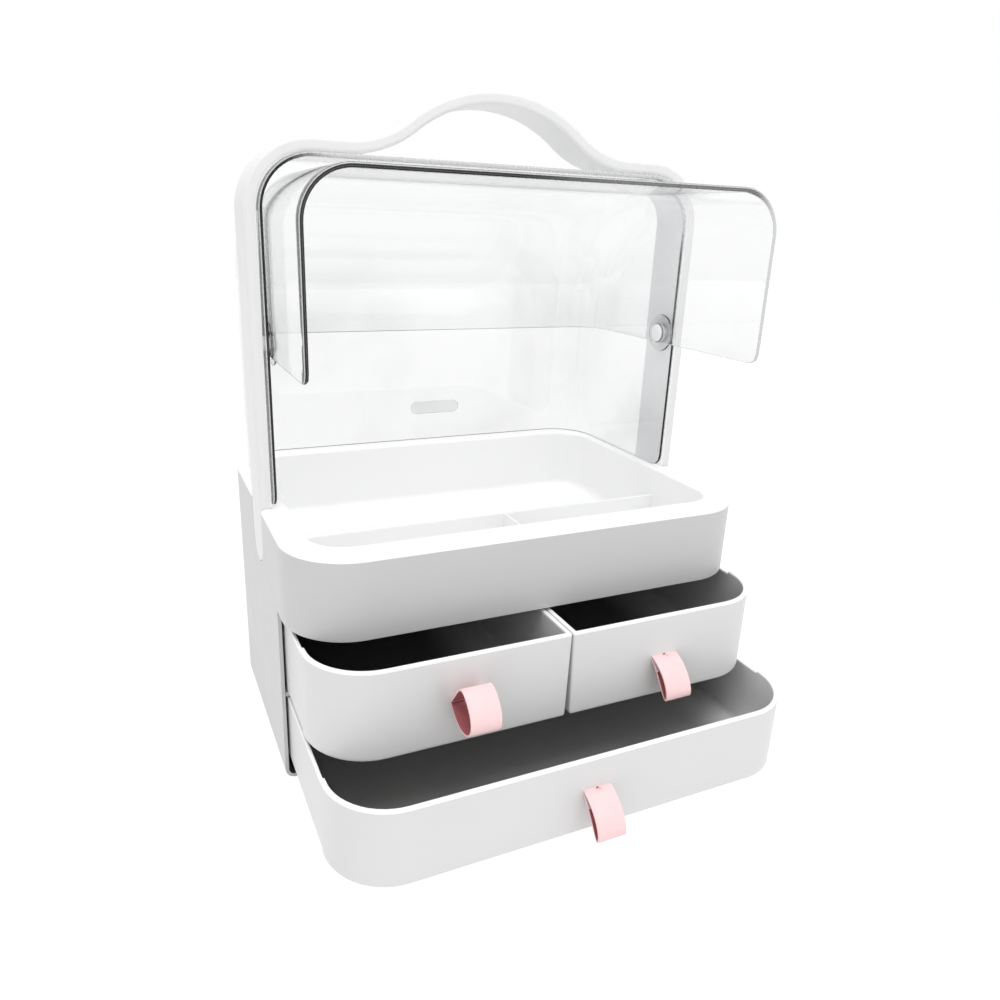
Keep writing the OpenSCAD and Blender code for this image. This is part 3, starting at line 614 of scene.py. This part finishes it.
class Finish:
    """Node tree of a material or of the surroundings, with the steps that the finishes share."""

    def __init__(self, owner):
        owner.use_nodes = True
        self.owner = owner
        self.nodes = owner.node_tree.nodes
        self.link = owner.node_tree.links.new
        self.shader = self.nodes.get("Principled BSDF")

    def feed(self, name, value):
        """Links an input of the shader to a socket, or sets it to a constant."""
        if isinstance(value, bpy.types.NodeSocket):
            self.link(value, self.shader.inputs[name])
        else:
            self.shader.inputs[name].default_value = value

    def coords(self):
        """Place on the piece."""
        return self.nodes.new("ShaderNodeTexCoord").outputs["Object"]

    def axes(self):
        """Place on the piece as the separate values X, Y and Z."""
        split = self.nodes.new("ShaderNodeSeparateXYZ")
        self.link(self.coords(), split.inputs[0])
        return split.outputs

    def noise(self, scale, detail):
        """Soft noise from 0 to 1."""
        noise = self.nodes.new("ShaderNodeTexNoise")
        noise.inputs["Scale"].default_value = scale
        noise.inputs["Detail"].default_value = detail
        self.link(self.coords(), noise.inputs["Vector"])
        return noise.outputs["Fac"]

    def ramp(self, value, low, high):
        """Maps a value from 0..1 to a range."""
        node = self.nodes.new("ShaderNodeMapRange")
        node.inputs["To Min"].default_value = low
        node.inputs["To Max"].default_value = high
        self.link(value, node.inputs["Value"])
        return node.outputs["Result"]

    def span(self, value, start, end):
        """0 at start, 1 at end, smooth between."""
        node = self.nodes.new("ShaderNodeMapRange")
        node.interpolation_type = "SMOOTHSTEP"
        node.inputs["From Min"].default_value = start
        node.inputs["From Max"].default_value = end
        self.link(value, node.inputs["Value"])
        return node.outputs["Result"]

    def maths(self, operation, a, b=0.0):
        """Result of one maths step on two values, each a socket or a number."""
        node = self.nodes.new("ShaderNodeMath")
        node.operation = operation
        for place, value in enumerate((a, b)):
            if isinstance(value, (int, float)):
                node.inputs[place].default_value = value
            else:
                self.link(value, node.inputs[place])
        return node.outputs[0]

    def blend(self, factor, first, second):
        """Colour between two, each a socket or a triple."""
        mix = self.nodes.new("ShaderNodeMix")
        mix.data_type = "RGBA"
        for place, color in (("A", first), ("B", second)):
            if isinstance(color, tuple):
                mix.inputs[place].default_value = (*color, 1)
            else:
                self.link(color, mix.inputs[place])
        self.link(factor, mix.inputs["Factor"])
        return mix.outputs["Result"]

    def relief(self, height, strength, distance):
        """Fine relief of the shader from a height."""
        bump = self.nodes.new("ShaderNodeBump")
        bump.inputs["Strength"].default_value = strength
        bump.inputs["Distance"].default_value = distance
        self.link(height, bump.inputs["Height"])
        self.feed("Normal", bump.outputs["Normal"])

    def surface(self, factor, first, second):
        """Shows a mix of two shaders."""
        mix = self.nodes.new("ShaderNodeMixShader")
        self.link(factor, mix.inputs["Fac"])
        self.link(first, mix.inputs[1])
        self.link(second, mix.inputs[2])
        self.link(mix.outputs["Shader"], self.nodes["Material Output"].inputs["Surface"])


def new_finish(name):
    """Finish of a new material."""
    return Finish(bpy.data.materials.new(name))


def moulded_plastic(name, color, rough, bump=0.02, coat=0.0):
    """Satin moulded plastic: faint clouding of its colour and gloss, and a very fine grain."""
    f = new_finish(name)
    f.feed("Base Color", f.blend(f.noise(scale=14, detail=3), color, tuple(c * 0.965 for c in color)))
    f.feed("Roughness", f.ramp(f.noise(scale=55, detail=4), rough - 0.06, rough + 0.06))
    f.relief(f.noise(scale=2600, detail=2), strength=bump, distance=0.0002)
    f.feed("Specular IOR Level", 0.45)
    f.feed("Coat Weight", coat)
    return f.owner


def painted_groove_shade(material, y, z, radius, width, level):
    """Darkens a narrow ring round the line along X through y and z: painted shade in the groove."""
    f = Finish(material)
    color = f.shader.inputs["Base Color"].links[0].from_socket
    axes = f.axes()
    squares = [f.maths("POWER", f.maths("SUBTRACT", axes[axis], middle), 2)
               for axis, middle in (("Y", y), ("Z", z))]
    away = f.maths("SQRT", f.maths("ADD", *squares))
    off = f.maths("ABSOLUTE", f.maths("SUBTRACT", away, radius))
    f.feed("Base Color", f.blend(f.span(off, width * 0.3, width), (level,) * 3, color))


def drawer_painted_shade(name, deep, light, x_from, x_to, y_from, y_to):
    """Inside of a drawer as painted shade: deep grey that lightens, as painted light, towards the front
    right corner.
    """
    f = new_finish(name)
    axes = f.axes()
    # Painted light: the painted shade lifts towards the front right corner.
    corner = f.maths("MULTIPLY", f.span(axes["X"], x_from, x_to), f.span(axes["Y"], y_from, y_to))
    f.feed("Base Color", f.blend(corner, (deep,) * 3, (light,) * 3))
    f.feed("Roughness", f.ramp(f.noise(scale=60, detail=4), 0.42, 0.58))
    f.relief(f.noise(scale=2200, detail=2), strength=0.03, distance=0.0002)
    return f.owner


def see_through(f):
    """Lets shadow rays and diffuse rays pass straight through a clear finish."""
    through = f.nodes.new("ShaderNodeBsdfTransparent")
    through.inputs["Color"].default_value = (0.997, 0.998, 1.0, 1)
    rays = f.nodes.new("ShaderNodeLightPath").outputs
    f.surface(f.maths("MAXIMUM", rays["Is Shadow Ray"], rays["Is Diffuse Ray"]),
              f.shader.outputs["BSDF"], through.outputs["BSDF"])


def clear_plastic(name, tint, low_painted_shade, rough):
    """Clear moulded plastic, faintly smeared and wavy, with painted shade and reflections as grey patches
    that deepen towards the tray.
    """
    f = new_finish(name)
    f.feed("Transmission Weight", 1.0)
    f.feed("IOR", 1.49)
    # Painted shade and reflections: grey patches, deeper low down towards the tray.
    patches = f.ramp(f.span(f.noise(scale=7, detail=4), 0.35, 0.65), 0.4, 1.0)
    low = f.span(f.axes()["Z"], 0.31, 0.18)
    f.feed("Base Color", f.blend(f.maths("MULTIPLY", low, patches), tint, low_painted_shade))
    f.feed("Roughness", f.ramp(f.noise(scale=24, detail=5), rough * 0.3, rough * 1.7))
    f.relief(f.noise(scale=9, detail=2), strength=0.05, distance=0.001)
    see_through(f)
    return f.owner


def painted_edge_bands(name, bands, fades):
    """Edge of a clear sheet with its light painted on: bands along it, given as (place across, grey),
    painted shade dark on the inner half with painted highlight lines.

    They fade to a lighter painted edge over spans given as ((axis, from, to), ...) with the share that
    fades."""
    f = new_finish(name)
    across = f.nodes.new("ShaderNodeAttribute")
    across.attribute_name = "across"
    steps = f.nodes.new("ShaderNodeValToRGB")
    stops = steps.color_ramp.elements
    stops[0].color = (bands[0][1],) * 3 + (1,)
    stops[1].color = (bands[-1][1],) * 3 + (1,)
    for place, level in bands[1:-1]:
        stops.new(place).color = (level, level, level, 1)
    f.link(across.outputs["Fac"], steps.inputs["Fac"])
    axes = f.axes()
    keep = 1.0
    for spans, share in fades:
        fade = share
        for axis, start, end in spans:
            fade = f.maths("MULTIPLY", f.span(axes[axis], start, end), fade)
        keep = f.maths("MULTIPLY", f.maths("SUBTRACT", 1.0, fade), keep)
    # The painted shade of the bands fades to a painted light edge.
    f.feed("Base Color", f.blend(f.maths("SUBTRACT", 1.0, keep), steps.outputs["Color"], EDGE_PAINTED_LIGHT))
    speck = f.noise(scale=300, detail=3)
    f.feed("Roughness", f.ramp(speck, 0.15, 0.4))
    f.relief(speck, strength=0.05, distance=0.0003)
    f.feed("Specular IOR Level", 0.2)
    f.feed("Transmission Weight", 0.3)
    see_through(f)
    return f.owner


def soft_rubber(name, color):
    """Soft pink strap: matte, with a fine leathery grain and a light sheen."""
    f = new_finish(name)
    warm = (color[0] * 0.97, color[1] * 0.9, color[2] * 0.91)
    f.feed("Base Color", f.blend(f.noise(scale=90, detail=3), color, warm))
    grain = f.noise(scale=1500, detail=4)
    f.feed("Roughness", f.ramp(grain, 0.42, 0.6))
    f.relief(grain, strength=0.12, distance=0.0003)
    f.feed("Subsurface Weight", 0.15)
    f.feed("Subsurface Radius", (0.002, 0.001, 0.001))
    return f.owner


def dress(node, material):
    """Gives a carried-over node its finish."""
    NODES[node].data.materials.clear()
    NODES[node].data.materials.append(material)


def white_seen(f):
    """1 for camera, glossy and transmission rays, 0 for the rays that light the object."""
    rays = f.nodes.new("ShaderNodeLightPath").outputs
    first = f.maths("MAXIMUM", rays["Is Camera Ray"], rays["Is Glossy Ray"])
    return f.maths("MAXIMUM", first, rays["Is Transmission Ray"])


def studio():
    """White surroundings, a pale floor that keeps the shadow, and soft lamps."""
    world = bpy.data.worlds.new("studio")
    bpy.context.scene.world = world
    f = Finish(world)
    back = f.nodes["Background"]
    back.inputs["Color"].default_value = (1, 1, 1, 1)
    f.link(f.ramp(white_seen(f), WORLD_LEVEL, 1.0), back.inputs["Strength"])
    plane = bpy.data.meshes.new("floor")
    size, z = FLOOR_HALF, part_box("rubber_feet")[0].z
    plane.from_pydata([(-size, -size, z), (size, -size, z), (size, size, z), (-size, size, z)], [],
                      [(0, 1, 2, 3)])
    floor = link(bpy.data.objects.new("floor", plane))
    floor.data.materials.append(floor_finish())
    lamp("key", KEY_PLACE, (0, 0, 0.1), 1.5, KEY_POWER)
    lamp("fill_left", LEFT_PLACE, (0, 0, 0.15), 1.4, LEFT_POWER)
    lamp("fill_front", FRONT_PLACE, (0, 0, 0.1), 1.4, FRONT_POWER)


def floor_finish():
    """Floor that shows white to the camera, a little darker where the object shades it."""
    f = new_finish("floor")
    f.nodes.remove(f.shader)
    diffuse = f.nodes.new("ShaderNodeBsdfDiffuse")
    diffuse.inputs["Color"].default_value = (0.9, 0.9, 0.9, 1)
    glow = f.nodes.new("ShaderNodeEmission")
    glow.inputs["Color"].default_value = (1, 1, 1, 1)
    glow.inputs["Strength"].default_value = FLOOR_GLOW
    f.surface(f.ramp(white_seen(f), 0.0, FLOOR_GLOW_SHARE), diffuse.outputs["BSDF"],
              glow.outputs["Emission"])
    return f.owner


def lamp(name, place, target, size, power):
    """Round soft lamp at a place, turned to a target."""
    data = bpy.data.lights.new(name, "AREA")
    data.shape = "DISK"
    data.size = size
    data.energy = power
    obj = link(bpy.data.objects.new(name, data))
    obj.location = place
    aim = np.array(place) - np.array(target)
    obj.rotation_euler = Matrix(look_along(aim)).to_euler()


def look_along(back):
    """Rotation whose local +Z points along back."""
    z = np.array(back) / np.linalg.norm(back)
    x = np.cross([0, 0, 1.0], z)
    x /= np.linalg.norm(x)
    y = np.cross(z, x)
    return np.stack([x, y, z], -1).tolist()


def camera():
    """Camera at the photograph's place and angle."""
    data = bpy.data.cameras.new("camera")
    cam = link(bpy.data.objects.new("camera", data))
    columns = np.eye(4)
    columns[:3, 0] = CAMERA_RIGHT
    columns[:3, 1] = CAMERA_UP
    columns[:3, 2] = CAMERA_BACK
    columns[:3, 3] = CAMERA_PLACE
    cam.matrix_world = Matrix(columns.tolist())
    data.sensor_width = 36
    data.lens = CAMERA_LENS
    data.shift_x, data.shift_y = CAMERA_SHIFT
    data.clip_start = 0.01
    bpy.context.scene.camera = cam
    bpy.context.scene.view_settings.view_transform = "Standard"


# Painted light and shade on the clear sheets' edges: light grey for the faded edge, near-black for the
# dark bands.
EDGE_PAINTED_LIGHT = (0.9, 0.905, 0.91)
EDGE_PAINTED_SHADE = 0.015

# Painted light and shade: one white plastic in four greys, darkest on the cabinet walls, then drawers and
# frame, lightest on the tray.
white = moulded_plastic("white_plastic", (0.6, 0.6, 0.6), 0.36)
drawer_white = moulded_plastic("drawer_plastic", (0.74, 0.74, 0.74), 0.36)
frame_white = moulded_plastic("frame_plastic", (0.79, 0.79, 0.79), 0.34)
tray_white = moulded_plastic("tray_plastic", (0.95, 0.95, 0.95), 0.34)
knob_white = moulded_plastic("knob_plastic", (0.85, 0.85, 0.86), 0.12, 0.0, 0.6)
# Painted shade in the groove where the knob's dome meets its rim.
painted_groove_shade(knob_white, PIVOT_Y, PIVOT_Z, CAP_R - 0.4 * MM, 0.6 * MM, 0.2)
# Painted shade: near-black inside the cabinet below the tray.
painted_shade_dark = moulded_plastic("cabinet_painted_shade", (0.05, 0.05, 0.05), 0.5)
# Painted light: a lighter grey as painted highlights on lower lips and rims, and on the frame legs' inner
# faces against their shade.
painted_highlight_white = moulded_plastic("painted_highlight_plastic", (0.95, 0.95, 0.95), 0.3)
# Painted shade inside the drawers, lifting to painted light towards the front right.
upper_left_shade = drawer_painted_shade("upper_left_painted_shade", 0.1, 0.7, -0.05, -0.004, 0.1, 0.05)
upper_right_shade = drawer_painted_shade("upper_right_painted_shade", 0.1, 0.7, 0.085, 0.135, 0.1, 0.05)
lower_drawer_shade = drawer_painted_shade("lower_painted_shade", 0.34, 0.9, 0.1, 0.13, -0.07, -0.13)
# The second grey is the painted shade and reflection low on the covers.
clear = clear_plastic("clear_plastic", (0.975, 0.978, 0.98), (0.7, 0.703, 0.706), 0.03)
# Painted reflections on the covers' edges: dark bands with light lines, fading to light grey.
rear_painted_edge = painted_edge_bands(
    "rear_painted_edge",
    bands=((0.0, 0.5), (0.12, 0.5), (0.2, 0.85), (0.32, 0.85), (0.4, EDGE_PAINTED_SHADE), (1.0, EDGE_PAINTED_SHADE)),
    fades=(((("Z", 0.29, 0.32), ("X", -0.12, -0.09)), 0.9),))
front_painted_edge = painted_edge_bands(
    "front_painted_edge",
    bands=((0.0, 0.3), (0.1, 0.3), (0.16, 0.85), (0.28, 0.85), (0.34, EDGE_PAINTED_SHADE), (0.62, EDGE_PAINTED_SHADE),
           (0.66, 0.12), (0.72, 0.12), (0.76, EDGE_PAINTED_SHADE), (1.0, EDGE_PAINTED_SHADE)),
    fades=(((("X", -0.03, 0.03),), 0.25), ((("X", 0.11, 0.127),), 0.95)))
pink = soft_rubber("pink_strap", (0.93, 0.68, 0.68))
# Painted shade: dark red on the inside of the strap loops.
pink_painted_shade = soft_rubber("pink_painted_shade", (0.42, 0.13, 0.14))
steel = moulded_plastic("screw_steel", (0.5, 0.5, 0.52), 0.3)
steel.node_tree.nodes["Principled BSDF"].inputs["Metallic"].default_value = 1.0
rubber = moulded_plastic("foot_rubber", (0.03, 0.03, 0.03), 0.6, 0.1)

camera()
studio()
drawer_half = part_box("drawer_lower")[1].x
drawer("drawer_lower", -drawer_half, drawer_half, LOWER_OPEN, (drawer_white, lower_drawer_shade, painted_highlight_white))
drawer("drawer_upper_right", WEDGE_BOTTOM, drawer_half, UPPER_OPEN,
       (drawer_white, upper_right_shade, painted_highlight_white), 1)
drawer("drawer_upper_left", WEDGE_BOTTOM, drawer_half, UPPER_OPEN,
       (drawer_white, upper_left_shade, painted_highlight_white), -1)
tray(tray_white)
handle(frame_white, painted_highlight_white)
rear_cover((clear, rear_painted_edge))
front_cover((clear, front_painted_edge))
bare_oval(clear)
pivots(knob_white, clear)
for side in ("left", "right", "lower"):
    body = "drawer_lower" if side == "lower" else "drawer_upper_" + side
    strap("pull_strap_" + side, body, (pink, pink_painted_shade))
bevelled_copy("cabinet_shell", "cabinet_walls", 0.7 * MM, (white, painted_shade_dark, painted_highlight_white), "cabinet",
              cabinet_part, below=BODY_TOP - 1 * MM)
for node in ("base_plate", "mid_shelf", "centre_partition", "strap_clip_left", "strap_clip_right",
             "strap_clip_lower", "pivot_pin_left", "pivot_pin_right"):
    dress(node, white)
dress("rubber_feet", rubber)
dress("frame_screws", steel)
